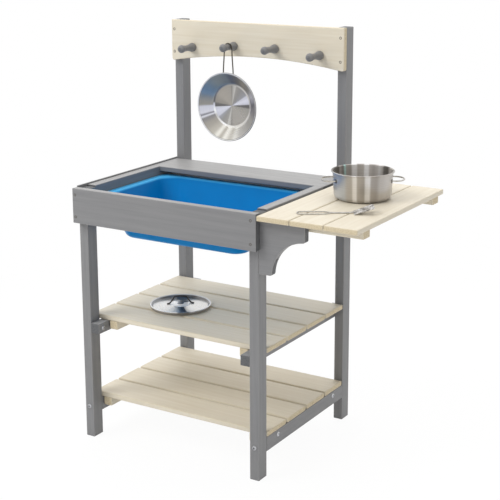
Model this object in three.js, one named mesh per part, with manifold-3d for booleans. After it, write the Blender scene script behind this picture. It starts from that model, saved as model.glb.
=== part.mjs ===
// Mud kitchen for a garden: a glazed timber stand with a drop-in tub, a side table on corbels,
// two slatted shelves and a peg rail, and a small set of steel cookware.
// Millimetres, +Z up, the front towards -Y. Pieces are placed from the left end of the front
// board, its front face and the floor; the last group moves the origin to the middle of the
// footprint.
import * as THREE from "three";
import { RoundedBoxGeometry } from "three/addons/geometries/RoundedBoxGeometry.js";
import { mergeVertices } from "three/addons/utils/BufferGeometryUtils.js";
import Module from "manifold-3d";

const wasm = await Module();
wasm.setup();

// Driving dimensions
const frame = {
  width: 500, // front board, end to end
  depth: 455.5, // front board's face to the rear faces of the posts
  rimHeight: 622, // floor to the top of the sink box
  backHeight: 360, // rim of the box to the tops of the rear posts
};
const timber = {
  legWidth: 24,
  legDepth: 34,
  legTopDrop: 3.5, // front legs stop this far below the rim
  edge: 1.5, // eased edges of the grey timber
  slatThickness: 12,
  slatEdge: 2.5, // rounded edges of the cream slats
};
const sinkBox = {
  height: 83,
  frontThickness: 18,
  panelThickness: 4, // thin panel outside the left-hand side; sets the legs in from the ends
  panelRise: 3, // the panel stands above the rim
  panelEdge: 0.5,
  ledgeDepth: 111.5,
  apronThickness: 15,
  ledgerWidth: 12, // battens that the tub's flange rests on
  ledgerHeight: 15,
};
const tub = {
  drop: 22, // rim of the box to the top of the flange
  tuck: 26, // how far the rear flange reaches in under the ledge
  depth: 101.5,
  clearance: 1, // to the sides and the front
  wall: 3,
  flangeWidth: 17,
  flangeThickness: 3,
  lip: 4, // rounded step from the flange into the basin
  taper: 32, // how far each wall leans in on its way down
  floorRound: 12,
  flangeCorner: 30,
  basinCorner: 45,
  floorCorner: 35,
  cornerSteps: 7,
};
const table = {
  gap: 3, // box to table
  slats: 3,
  slatWidth: 79,
  slatGap: 1.5,
  overhang: 4, // in front of the front board
  drop: 2, // below the rim
  battenWidth: 30,
  battenHeight: 18,
  battenInset: 5, // from the table's free edge
};
const corbel = {
  reach: 113.5,
  height: 123,
  foot: 33, // width of the lower end
  tip: 40, // height of the free end
  thickness: 17,
  corner: 5,
  edge: 1,
  arcSteps: 10,
};
const hookBoard = {
  height: 103,
  rise: 21, // of the arched lower edge
  thickness: 14,
  corner: 6,
  edge: 1.5,
  arcSteps: 12,
};
const peg = {
  endInset: 64.3, // outer pegs, from the ends of the board
  innerOffset: 58.6, // inner pegs, from the middle of the board
  outerDrop: 67, // below the top of the board
  innerDrop: 58,
  length: 60,
  baseRadius: 11,
  baseThickness: 3,
  waistRadius: 7,
  waistStart: 18,
  waistEnd: 37,
  ballRadius: 10,
  tenonRadius: 5,
  tenonLength: 9,
  turns: 16,
};
const shelf = {
  slats: 4,
  slatGap: 7,
  clearance: 3, // to the legs in front and the posts behind
  battenWidth: 23,
  battenHeight: 21,
  battenInset: 1, // from the front and rear edges of the slats
};
const lowerShelf = { railBottom: 59, railHeight: 34, battenGap: 2 };
const middleShelf = { railBottom: 267, railHeight: 25, railWidth: 24, battenGap: 3 };
const bolt = {
  shankRadius: 3,
  headRadius: 5.5,
  headHeight: 2.5,
  headRound: 1,
  socketRadius: 2.2,
  socketDepth: 1.8,
  clearance: 0.3,
  shelfInset: 51, // lower rail's bolts, from the legs
  legHeight: 78, // bolts through the legs into the lower rails
  railBite: 30, // how far those bolts run into the rails
  shelfBite: 14, // how far the rails' bolts run into what they hold
  turns: 12,
};
const seat = 0.3; // gap under and around the loose steel pieces
const steel = {
  sheet: 1.2,
  rimRoll: 1.7,
  turns: 40,
  wireSides: 6,
};
const pot = {
  inset: 119.5, // its middle, from the table's edge at the box
  y: 260.5,
  turn: 31.6, // degrees from +X to the axis of its handles
  radius: 68,
  baseRadius: 65, // where the wall meets the round of the base
  height: 64.3,
  baseRound: 11,
  handleHeight: 43.8,
  handleReach: 25, // wall to the middle of the wire
  handleHalfSpan: 25,
  bendShares: [0.72, 0.76], // of the reach and of the half span, where the loop bends
  wireRadius: 1.75,
  wireSteps: 16,
};
const lid = {
  x: 161.5,
  y: 201.5,
  turn: 38,
  radius: 75,
  height: 9,
  rimWidth: 3.5,
  grooveWidth: 7,
  grooveFloorShare: 0.6, // of the groove's width, the rest is its sloping wall
  grooveDepth: 6,
  crown: 4.5, // rise of the disc from the groove to the middle step
  stepRadius: 26,
  stepHeight: 1,
  footRadius: 33, // middle to the welded feet of the handle
  footLength: 6,
  barHalfLength: 15,
  barHeight: 26,
  wireRadius: 1.75,
  wireSteps: 20,
};
const pan = {
  radius: 85.5,
  baseRadius: 55.5,
  depth: 28,
  baseRound: 4,
  drop: 146.5, // peg's middle to the pan's middle
  wirePlane: 28, // front of the hook board to the wire
  wireSetback: 10, // rim to the wire
  loopHalfWidth: 10,
  footHalfWidth: 14.5,
  wireRadius: 1.6,
  wireSteps: 44,
};
const turner = {
  inset: 63, // tip of its loop, from the table's edge at the box
  y: 58.5,
  turn: 30.8,
  handleLength: 104,
  neckLength: 18,
  loopHalfWidth: 11,
  wireRadius: 1.3,
  wireSpacing: 3.2,
  loopShares: [[0.8, 0], [0.72, 0.08], [0.56, 0.88], [0.3, 1]], // along the handle, and out to the loop
  cornerShares: [0.6, 0.85], // of the loop's half width, along and across at its tip
  weldLength: 12,
  bladeLength: 46,
  heelWidth: 32,
  bladeWidth: 40,
  bladeThickness: 1.5,
  bladeTilt: 18.5, // degrees
  bladeCorner: 4,
  slots: 3,
  slotWidth: 3.5,
  slotPitch: 9.5,
  slotStart: 18,
  slotLength: 20,
  wireSteps: 40,
};

// Finishes
const greyGlaze = new THREE.MeshStandardMaterial({ color: 0x8c8c8e, roughness: 0.7 });
const creamGlaze = new THREE.MeshStandardMaterial({ color: 0xe6dec8, roughness: 0.75 });
const bluePlastic = new THREE.MeshStandardMaterial({ color: 0x0673bc, roughness: 0.35 });
const brushedSteel = new THREE.MeshStandardMaterial({ color: 0xc9c8c6, roughness: 0.3, metalness: 1 });
const zincPlate = new THREE.MeshStandardMaterial({ color: 0xbfc0c2, roughness: 0.4, metalness: 1 });

// Places that several pieces share
const rim = frame.rimHeight;
const postTop = rim + frame.backHeight;
const legOuter = sinkBox.panelThickness;
const legInner = legOuter + timber.legWidth;
const legFront = sinkBox.frontThickness;
const legBack = legFront + timber.legDepth;
const postFront = frame.depth - timber.legDepth;
const boxBottom = rim - sinkBox.height;
const ledgeBottom = rim - timber.slatThickness;
const ledgeFront = postFront - sinkBox.ledgeDepth;
const middleX = frame.width / 2;
const tubTop = rim - tub.drop;
const ledgerTop = tubTop - tub.flangeThickness - seat;
const tableTop = rim - table.drop;
const tableUnder = tableTop - timber.slatThickness;
const tableLeft = frame.width + table.gap;
const tableWidth = table.slats * table.slatWidth + (table.slats - 1) * table.slatGap;
const tableRight = tableLeft + tableWidth;
const corbelOuter = frame.width - legOuter; // outer face of the right-hand leg and post
const frontCorbelBack = legFront + corbel.thickness;
const rearCorbelBack = postFront + corbel.thickness;

const kitchen = new THREE.Group();
kitchen.position.set(-tableRight / 2, -(frame.depth - table.overhang) / 2, 0);

// A closed geometry as a solid that can be cut, and back again
function toSolid(geometry) {
  const bare = geometry.clone();
  bare.deleteAttribute("normal");
  bare.deleteAttribute("uv");
  const merged = mergeVertices(bare, 1e-4);
  return new wasm.Manifold(
    new wasm.Mesh({
      numProp: 3,
      vertProperties: merged.attributes.position.array,
      triVerts: new Uint32Array(merged.index.array),
    }),
  );
}

function toGeometry(solid) {
  const mesh = solid.getMesh();
  const geometry = new THREE.BufferGeometry();
  geometry.setAttribute("position", new THREE.BufferAttribute(mesh.vertProperties, 3));
  geometry.setIndex(new THREE.BufferAttribute(mesh.triVerts, 1));
  geometry.computeVertexNormals();
  return geometry;
}

function cut(geometry, ...tools) {
  return toGeometry(tools.reduce((solid, tool) => solid.subtract(toSolid(tool)), toSolid(geometry)));
}

// A round bar from one point to another
function roundBar(from, to, radius, turns = bolt.turns) {
  const start = new THREE.Vector3(...from);
  const along = new THREE.Vector3(...to).sub(start);
  const bar = new THREE.CylinderGeometry(radius, radius, along.length(), turns);
  bar.applyQuaternion(
    new THREE.Quaternion().setFromUnitVectors(new THREE.Vector3(0, 1, 0), along.clone().normalize()),
  );
  const middle = start.addScaledVector(along, 0.5);
  return bar.translate(middle.x, middle.y, middle.z);
}

function addMesh(parent, name, geometry, material) {
  const mesh = new THREE.Mesh(geometry, material);
  mesh.name = name;
  parent.add(mesh);
  return mesh;
}

// A length of timber between two corners, with eased edges and any drilled holes
function addTimber(name, material, [x0, x1], [y0, y1], [z0, z1], edge, holes = []) {
  const size = [x1 - x0, y1 - y0, z1 - z0];
  let geometry = new RoundedBoxGeometry(...size, 1, edge);
  geometry.translate((x0 + x1) / 2, (y0 + y1) / 2, (z0 + z1) / 2);
  if (holes.length) geometry = cut(geometry, ...holes);
  return addMesh(kitchen, name, geometry, material);
}

// The same stretch of X on the left and, mirrored, on the right of the stand
const sides = [
  { name: "left", inward: 1, x: (value) => value },
  { name: "right", inward: -1, x: (value) => frame.width - value },
];
const span = (side, a, b) => [side.x(a), side.x(b)].sort((low, high) => low - high);

// A bolt whose head sits on a face at `at` and whose shank runs `length` along `direction`
function addBolt(name, at, direction, length) {
  const { shankRadius, headRadius, headHeight, headRound, socketRadius, socketDepth } = bolt;
  const profile = [
    [0, -length],
    [shankRadius, -length],
    [shankRadius, 0],
    [headRadius, 0],
    [headRadius, headHeight - headRound],
    [headRadius - headRound, headHeight],
    [socketRadius, headHeight],
    [socketRadius, headHeight - socketDepth],
    [0, headHeight - socketDepth],
  ].map(([radius, height]) => new THREE.Vector2(radius, height));
  const mesh = addMesh(kitchen, name, new THREE.LatheGeometry(profile, bolt.turns), zincPlate);
  mesh.quaternion.setFromUnitVectors(
    new THREE.Vector3(0, 1, 0),
    new THREE.Vector3(...direction).negate(),
  );
  mesh.position.set(...at);
}

// The clearance hole for such a bolt, through everything up to its tip
function boltHole(at, direction, length) {
  const end = at.map((value, axis) => value + direction[axis] * (length + bolt.clearance));
  const start = at.map((value, axis) => value - direction[axis] * bolt.headHeight);
  return roundBar(start, end, bolt.shankRadius + bolt.clearance);
}

// Every bolt of the stand, listed once, so that the timbers can be drilled for it
function boltList() {
  const list = [];
  const lowerRailTop = lowerShelf.railBottom + lowerShelf.railHeight;
  const middleRailInner = legInner + middleShelf.railWidth;
  for (const side of sides) {
    list.push({
      name: `leg_bolt_${side.name}`,
      at: [side.x(legOuter + timber.legWidth / 2), legFront, bolt.legHeight],
      direction: [0, 1, 0],
      length: timber.legDepth + bolt.railBite,
    });
    list.push({
      name: `middle_rail_bolt_${side.name}`,
      at: [
        side.x(middleRailInner),
        legFront + timber.legDepth / 2,
        middleShelf.railBottom + middleShelf.railHeight / 2,
      ],
      direction: [-side.inward, 0, 0],
      length: middleShelf.railWidth + bolt.shelfBite,
    });
    for (const [end, y] of [
      ["front", legBack + bolt.shelfInset],
      ["rear", postFront - bolt.shelfInset],
    ])
      list.push({
        name: `shelf_bolt_${side.name}_${end}`,
        at: [side.x(legOuter), y, lowerRailTop - shelf.battenHeight / 2],
        direction: [side.inward, 0, 0],
        length: timber.legWidth + bolt.shelfBite,
      });
  }
  return list;
}
const bolts = boltList();
const holesFor = (...names) =>
  bolts
    .filter((entry) => names.includes(entry.name))
    .map((entry) => boltHole(entry.at, entry.direction, entry.length));

// Front legs, rear posts and the rails between them
function addLegs() {
  for (const side of sides) {
    addTimber(
      `front_leg_${side.name}`, greyGlaze,
      span(side, legOuter, legInner), [legFront, legBack], [0, rim - timber.legTopDrop], timber.edge,
      holesFor(`leg_bolt_${side.name}`, `middle_rail_bolt_${side.name}`),
    );
    addTimber(
      `rear_post_${side.name}`, greyGlaze,
      span(side, legOuter, legInner), [postFront, frame.depth], [0, postTop], timber.edge,
    );
  }
}

// The box round the tub: front board, side boards rebated for the ledge, a thin panel outside
// the left-hand one, the ledge, the apron under its rear edge, and the battens for the tub
function addSinkBox() {
  addTimber(
    "front_board", greyGlaze,
    [0, frame.width], [0, legFront], [boxBottom, rim], timber.edge,
  );
  addTimber(
    "side_panel_left", greyGlaze,
    [0, legOuter], [legFront, frame.depth], [boxBottom, rim + sinkBox.panelRise], sinkBox.panelEdge,
  );
  for (const side of sides) {
    const board = new RoundedBoxGeometry(
      timber.legWidth, postFront - legBack, sinkBox.height, 1, timber.edge,
    );
    board.translate(
      side.x(legOuter + timber.legWidth / 2), (legBack + postFront) / 2, (boxBottom + rim) / 2,
    );
    const rebate = new THREE.BoxGeometry(
      2 * timber.legWidth, 2 * sinkBox.ledgeDepth, 2 * timber.slatThickness,
    );
    rebate.translate(side.x(legOuter + timber.legWidth / 2), postFront, rim);
    addMesh(kitchen, `side_board_${side.name}`, cut(board, rebate), greyGlaze);
    addTimber(
      `tub_ledger_${side.name}`, greyGlaze,
      span(side, legInner, legInner + sinkBox.ledgerWidth), [legBack, postFront - sinkBox.apronThickness],
      [ledgerTop - sinkBox.ledgerHeight, ledgerTop], timber.edge,
    );
  }
  addTimber(
    "rear_ledge", greyGlaze,
    [legOuter, frame.width - legOuter], [ledgeFront, postFront], [ledgeBottom, rim], timber.edge,
  );
  addTimber(
    "rear_apron", greyGlaze,
    [legInner, frame.width - legInner], [postFront - sinkBox.apronThickness, postFront],
    [boxBottom, ledgeBottom], timber.edge,
  );
  addTimber(
    "tub_ledger_front", greyGlaze,
    [legInner, frame.width - legInner], [legFront, legFront + sinkBox.ledgerWidth],
    [ledgerTop - sinkBox.ledgerHeight, ledgerTop], timber.edge,
  );
}

// A level loop of points round a rectangle with round corners, counter-clockwise from above
function roundedLoop([x0, x1], [y0, y1], corner, z) {
  const centres = [
    [x1 - corner, y0 + corner],
    [x1 - corner, y1 - corner],
    [x0 + corner, y1 - corner],
    [x0 + corner, y0 + corner],
  ];
  return centres.flatMap(([x, y], quarter) =>
    Array.from({ length: tub.cornerSteps + 1 }, (_, step) => {
      const angle = ((quarter - 1) * Math.PI) / 2 + (step / tub.cornerSteps) * (Math.PI / 2);
      return [x + corner * Math.cos(angle), y + corner * Math.sin(angle), z];
    }),
  );
}

// Loops stacked into one skin, closed by a flat fan at the first and the last
function skinLoops(loops) {
  const positions = loops.flat(2);
  const count = loops[0].length;
  const index = [];
  loops.slice(1).forEach((_, row) => {
    for (let i = 0; i < count; i++) {
      const next = (i + 1) % count;
      const [a, b] = [row * count + i, row * count + next];
      index.push(a, b, b + count, a, b + count, a + count);
    }
  });
  const last = (loops.length - 1) * count;
  for (let i = 1; i < count - 1; i++) index.push(0, i + 1, i, last, last + i, last + i + 1);
  const geometry = new THREE.BufferGeometry();
  geometry.setAttribute("position", new THREE.Float32BufferAttribute(positions, 3));
  geometry.setIndex(index);
  geometry.computeVertexNormals();
  return geometry;
}

// The tub: a flange on the battens and a basin whose walls lean in
function addTub() {
  const xFlange = [legInner + tub.clearance, frame.width - legInner - tub.clearance];
  const yFlange = [legFront + tub.clearance, ledgeFront + tub.tuck];
  const bottom = tubTop - tub.depth;
  const loop = (inset, corner, z) =>
    roundedLoop(
      [xFlange[0] + inset, xFlange[1] - inset], [yFlange[0] + inset, yFlange[1] - inset], corner, z,
    );
  const { wall, flangeWidth, flangeThickness, lip, taper, floorRound } = tub;
  const basinTop = flangeWidth + lip;
  const basinFoot = basinTop + taper;
  const half = floorRound / 2;
  const bend = (floorRound - half) / 2; // the floor's round, drawn with one step between
  addMesh(
    kitchen, "tub",
    skinLoops([
      loop(basinFoot + floorRound - wall, tub.floorCorner - half, bottom),
      loop(basinFoot + bend - wall, tub.floorCorner, bottom + bend),
      loop(basinFoot - wall, tub.floorCorner + wall, bottom + floorRound),
      loop(basinTop - wall, tub.basinCorner + wall, tubTop - flangeThickness - lip),
      loop(basinTop - wall, tub.basinCorner + wall, tubTop - flangeThickness),
      loop(0, tub.flangeCorner, tubTop - flangeThickness),
      loop(0, tub.flangeCorner, tubTop),
      loop(flangeWidth, tub.basinCorner, tubTop),
      loop(basinTop, tub.basinCorner, tubTop - lip),
      loop(basinFoot, tub.floorCorner, bottom + floorRound),
      loop(basinFoot + bend, tub.floorCorner - bend, bottom + wall + bend),
      loop(basinFoot + floorRound, tub.floorCorner - half, bottom + wall),
    ]),
    bluePlastic,
  );
}

// The side table: slats from front to rear on two battens, and a corbel at the leg and the post
function addTable() {
  for (let i = 0; i < table.slats; i++) {
    const left = tableLeft + i * (table.slatWidth + table.slatGap);
    addTimber(
      `table_slat_${i + 1}`, creamGlaze,
      [left, left + table.slatWidth], [-table.overhang, rearCorbelBack],
      [tableUnder, tableTop], timber.slatEdge,
    );
  }
  for (const [end, y] of [
    ["front", frontCorbelBack],
    ["rear", postFront - table.battenWidth],
  ])
    addTimber(
      `table_batten_${end}`, creamGlaze,
      [corbelOuter, tableRight - table.battenInset], [y, y + table.battenWidth],
      [tableUnder - table.battenHeight, tableUnder], timber.slatEdge,
    );
  for (const [end, back] of [
    ["front", frontCorbelBack],
    ["rear", rearCorbelBack],
  ])
    addMesh(kitchen, `corbel_${end}`, corbelGeometry(back), greyGlaze);
}

// A corbel in the X-Z plane with a hollow quarter circle below its arm
function corbelGeometry(back) {
  const { reach, height, foot, tip, thickness, corner, edge, arcSteps } = corbel;
  const hollow = height - tip;
  const centre = foot + hollow;
  const inside = (value) => value - edge; // the bevel brings the outline back to full size
  const shape = new THREE.Shape();
  shape.moveTo(edge, -edge);
  shape.lineTo(edge, edge - height);
  shape.lineTo(inside(foot) - corner, edge - height);
  shape.quadraticCurveTo(inside(foot), edge - height, inside(foot), edge + corner - height);
  shape.absarc(
    centre, -height, hollow + edge,
    Math.PI - (corner + edge) / hollow, Math.acos((inside(reach) - corner - centre) / (hollow + edge)), true,
  );
  shape.quadraticCurveTo(inside(reach), edge - tip, inside(reach), edge + corner - tip);
  shape.lineTo(inside(reach), -edge);
  const body = new THREE.ExtrudeGeometry(shape, {
    depth: thickness - 2 * edge,
    bevelThickness: edge,
    bevelSize: edge,
    bevelSegments: 1,
    curveSegments: arcSteps,
  });
  body.rotateX(Math.PI / 2);
  return body.translate(corbelOuter, back - edge, tableUnder);
}

// The peg rail: an arched board on the posts with four turned pegs
function addPegRail() {
  const front = postFront - hookBoard.thickness;
  const outerOffset = middleX - legOuter - peg.endInset;
  const places = [
    [-outerOffset, peg.outerDrop],
    [-peg.innerOffset, peg.innerDrop],
    [peg.innerOffset, peg.innerDrop],
    [outerOffset, peg.outerDrop],
  ].map(([offset, drop]) => [middleX + offset, postTop - drop]);
  const holes = places.map(([x, z]) =>
    roundBar(
      [x, front - bolt.clearance, z], [x, front + peg.tenonLength + bolt.clearance, z],
      peg.tenonRadius + bolt.clearance, peg.turns,
    ),
  );
  addMesh(kitchen, "peg_rail_board", cut(archedBoard(front), ...holes), creamGlaze);
  places.forEach(([x, z], i) => {
    const mesh = addMesh(kitchen, `peg_${i + 1}`, pegGeometry(), greyGlaze);
    mesh.position.set(x, front, z);
  });
}

function archedBoard(front) {
  const { height, rise, thickness, corner, edge, arcSteps } = hookBoard;
  const halfLength = middleX - legOuter - edge;
  const radius = (halfLength * halfLength + rise * rise) / (2 * rise);
  const half = Math.asin((halfLength - corner) / radius);
  const foot = edge - height; // lower edge at the ends
  const shape = new THREE.Shape();
  shape.moveTo(-halfLength, foot + corner);
  const arcStart = foot + radius * Math.cos(half) + rise - radius;
  shape.quadraticCurveTo(-halfLength, foot, corner - halfLength, arcStart);
  shape.absarc(0, foot + rise - radius, radius, Math.PI / 2 + half, Math.PI / 2 - half, true);
  shape.quadraticCurveTo(halfLength, foot, halfLength, foot + corner);
  shape.lineTo(halfLength, -edge);
  shape.lineTo(-halfLength, -edge);
  const board = new THREE.ExtrudeGeometry(shape, {
    depth: thickness - 2 * edge,
    bevelThickness: edge,
    bevelSize: edge,
    bevelSegments: 1,
    curveSegments: arcSteps,
  });
  board.rotateX(Math.PI / 2);
  return board.translate(middleX, front + thickness - edge, postTop);
}

// A turned peg, from its tenon in the board to the ball at its tip, pointing to -Y
function pegGeometry() {
  const { length, baseRadius, baseThickness, waistRadius, waistStart, waistEnd, ballRadius } = peg;
  const neckShare = 0.5; // how much of the flare is left halfway to the waist
  const ballMiddle = length - ballRadius;
  const ball = [45, 75, 105, 130, 155].map((degrees) => {
    const angle = THREE.MathUtils.degToRad(degrees);
    return [ballRadius * Math.sin(angle), ballMiddle - ballRadius * Math.cos(angle)];
  });
  const profile = [
    [0, -peg.tenonLength],
    [peg.tenonRadius, -peg.tenonLength],
    [peg.tenonRadius, 0],
    [baseRadius, 0],
    [baseRadius, baseThickness],
    [
      waistRadius + (baseRadius - waistRadius) * neckShare * neckShare,
      (baseThickness + waistStart) * neckShare,
    ],
    [waistRadius, waistStart],
    [waistRadius, waistEnd],
    ...ball,
    [0, length],
  ].map(([radius, along]) => new THREE.Vector2(radius, along));
  return new THREE.LatheGeometry(profile, peg.turns).rotateX(Math.PI);
}

// A shelf: slats across the stand on two battens, carried by a rail on each side
function addShelf(name, { railBottom, railHeight, battenGap }, railOuter, railInner, railY) {
  const railTop = railBottom + railHeight;
  const front = legBack + shelf.clearance;
  const rear = postFront - shelf.clearance;
  const slatWidth = (rear - front - (shelf.slats - 1) * shelf.slatGap) / shelf.slats;
  const pitch = slatWidth + shelf.slatGap;
  for (let i = 0; i < shelf.slats; i++)
    addTimber(
      `${name}_slat_${i + 1}`, creamGlaze,
      [legOuter, frame.width - legOuter], [front + i * pitch, front + i * pitch + slatWidth],
      [railTop, railTop + timber.slatThickness], timber.slatEdge,
    );
  for (const side of sides) {
    const drilled = [
      `leg_bolt_${side.name}`, `middle_rail_bolt_${side.name}`,
      `shelf_bolt_${side.name}_front`, `shelf_bolt_${side.name}_rear`,
    ];
    addTimber(
      `${name}_rail_${side.name}`, greyGlaze,
      span(side, railOuter, railInner), railY, [railBottom, railTop], timber.edge,
      holesFor(...drilled),
    );
    const battenOuter = railInner + battenGap;
    addTimber(
      `${name}_batten_${side.name}`, creamGlaze,
      span(side, battenOuter, battenOuter + shelf.battenWidth),
      [front + shelf.battenInset, rear - shelf.battenInset],
      [railTop - shelf.battenHeight, railTop], timber.slatEdge,
      holesFor(...drilled),
    );
  }
}

// Sheet steel turned about the Z axis, from an outline of [radius, height] points
function spun(outline) {
  const points = outline.map(([radius, height]) => new THREE.Vector2(radius, height));
  return new THREE.LatheGeometry(points, steel.turns).rotateX(Math.PI / 2);
}

// Steel wire along a smooth curve through points
function wire(points, radius, steps) {
  const section = new THREE.Shape(
    Array.from({ length: steel.wireSides }, (_, i) => {
      const angle = (i / steel.wireSides) * 2 * Math.PI;
      return new THREE.Vector2(radius * Math.cos(angle), radius * Math.sin(angle));
    }),
  );
  const places = points.map((point) => new THREE.Vector3(...point));
  const path = new THREE.CatmullRomCurve3(places, false, "centripetal");
  return new THREE.ExtrudeGeometry(section, { extrudePath: path, steps, bevelEnabled: false });
}

// The pot on the table, with a wire loop at each side
function addPot() {
  const { radius, baseRadius, height, baseRound, handleHeight, handleReach, handleHalfSpan, wireRadius } = pot;
  const { sheet, rimRoll } = steel;
  const group = new THREE.Group();
  group.position.set(tableLeft + pot.inset, pot.y, tableTop + seat);
  group.rotation.z = THREE.MathUtils.degToRad(pot.turn);
  kitchen.add(group);
  const shoulder = baseRound * (1 - Math.SQRT1_2);
  const wall = [
    [0, 0],
    [baseRadius - baseRound, 0],
    [baseRadius - shoulder, shoulder],
    [baseRadius, baseRound],
    [radius, height - 2 * rimRoll],
  ];
  const body = spun([
    ...wall,
    [radius + rimRoll, height - 2 * rimRoll],
    [radius + 2 * rimRoll, height - rimRoll],
    [radius + rimRoll, height],
    [radius - sheet, height - rimRoll],
    [baseRadius - sheet, baseRound],
    [baseRadius - sheet - shoulder, sheet + shoulder],
    [baseRadius - sheet - baseRound, sheet],
    [0, sheet],
  ]);
  addMesh(group, "pot_body", body, brushedSteel);
  const wallGap = spun([...wall.map(([r, z]) => [r && r + seat, z]), [0, height]]);
  const out = radius + handleReach;
  const [outShare, acrossShare] = pot.bendShares;
  const loop = [
    [radius - handleReach, -handleHalfSpan],
    [radius, -handleHalfSpan],
    [radius + handleReach * outShare, -handleHalfSpan * acrossShare],
    [out, 0],
    [radius + handleReach * outShare, handleHalfSpan * acrossShare],
    [radius, handleHalfSpan],
    [radius - handleReach, handleHalfSpan],
  ].map(([x, y]) => [x, y, handleHeight]);
  for (const [name, turn] of [
    ["pot_handle_left", Math.PI],
    ["pot_handle_right", 0],
  ]) {
    const mesh = addMesh(group, name, cut(wire(loop, wireRadius, pot.wireSteps), wallGap), brushedSteel);
    mesh.rotation.z = turn;
  }
}

// The lid on the middle shelf: a grooved disc in a rolled rim, with an arched wire handle
function addLid() {
  const { radius, height, rimWidth, grooveWidth, grooveDepth, crown, stepRadius, stepHeight } = lid;
  const { sheet } = steel;
  const shelfTop = middleShelf.railBottom + middleShelf.railHeight + timber.slatThickness;
  const group = new THREE.Group();
  group.position.set(lid.x, lid.y, shelfTop + seat);
  group.rotation.z = THREE.MathUtils.degToRad(lid.turn);
  kitchen.add(group);
  const groove = height - grooveDepth; // height of the groove's floor
  const discEdge = radius - rimWidth - grooveWidth;
  const face = [
    [0, groove + crown + stepHeight],
    [stepRadius - stepHeight, groove + crown + stepHeight],
    [stepRadius, groove + crown],
    [discEdge, groove],
    [discEdge + grooveWidth * lid.grooveFloorShare, groove],
    [radius - rimWidth, height - sheet],
    [radius - rimWidth / 2, height],
  ];
  const wallShare = 0.7; // of the sheet, how far its underside stands out along the groove's wall
  const rimShare = 2.5; // of the sheet, how much of it the rolled rim takes in height
  const under = face
    .slice(0, -1)
    .map(([r, z], i) => [r + (i > 3 ? sheet * wallShare : 0), z - sheet])
    .reverse();
  addMesh(group, "lid_disc", spun([...face, [radius, height - sheet], [radius, 0], [radius - sheet, 0],
    [radius - sheet, height - rimShare * sheet], ...under].reverse()), brushedSteel);
  const { footRadius, footLength, barHalfLength, barHeight, wireRadius } = lid;
  const discAt = (r) => groove + (crown * (discEdge - r)) / (discEdge - stepRadius);
  const onDisc = (r) => [r, discAt(r) + seat + wireRadius];
  const half = [
    onDisc(footRadius),
    onDisc(footRadius - footLength / 2),
    onDisc(footRadius - footLength),
    [barHalfLength + wireRadius, barHeight - 2 * wireRadius],
    [barHalfLength - wireRadius, barHeight],
  ];
  const points = [...half, ...half.map(([x, z]) => [-x, z]).reverse()].map(([x, z]) => [x, 0, z]);
  addMesh(group, "lid_handle", wire(points, wireRadius, lid.wireSteps), brushedSteel);
}

// The pan, hung by its wire handle from the second peg, with its inside to the front
function addPan() {
  const { radius, baseRadius, depth, baseRound, wirePlane, wireSetback, wireRadius } = pan;
  const { sheet, rimRoll } = steel;
  const pegX = middleX - peg.innerOffset;
  const pegZ = postTop - peg.innerDrop;
  const wireY = postFront - hookBoard.thickness - wirePlane;
  const group = new THREE.Group();
  group.position.set(pegX, wireY - wireSetback + depth, pegZ - pan.drop);
  group.rotation.x = Math.PI / 2; // local Z points to the front
  kitchen.add(group);
  const wallTop = radius - 2 * rimRoll;
  const outer = [
    [0, 0],
    [baseRadius - baseRound, 0],
    [baseRadius, baseRound / 2],
    [wallTop, depth - 2 * rimRoll],
    [radius - rimRoll, depth - 2 * rimRoll],
    [radius, depth - rimRoll],
    [radius - rimRoll, depth],
  ];
  const inner = [
    [wallTop - sheet, depth - rimRoll],
    [baseRadius - sheet, baseRound / 2 + sheet],
    [baseRadius - baseRound, sheet],
    [0, sheet],
  ];
  addMesh(group, "pan_body", spun([...outer, ...inner]), brushedSteel);
  const wallGap = spun([...outer.map(([r, z]) => [r && r + seat, z]), [0, depth]]);
  const wireDepth = depth - wireSetback;
  const top = pan.drop + peg.waistRadius + 2 * seat + wireRadius;
  const arch = pan.loopHalfWidth;
  const half = [
    [pan.footHalfWidth, baseRadius],
    [pan.footHalfWidth, radius],
    [arch, top - arch],
    [arch * Math.SQRT1_2, top - arch * (1 - Math.SQRT1_2)],
  ];
  const points = [...half, [0, top], ...half.map(([x, z]) => [-x, z]).reverse()];
  const handle = wire(points.map(([x, z]) => [x, z, wireDepth]), wireRadius, pan.wireSteps);
  addMesh(group, "pan_handle", cut(handle, wallGap), brushedSteel);
}

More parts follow.
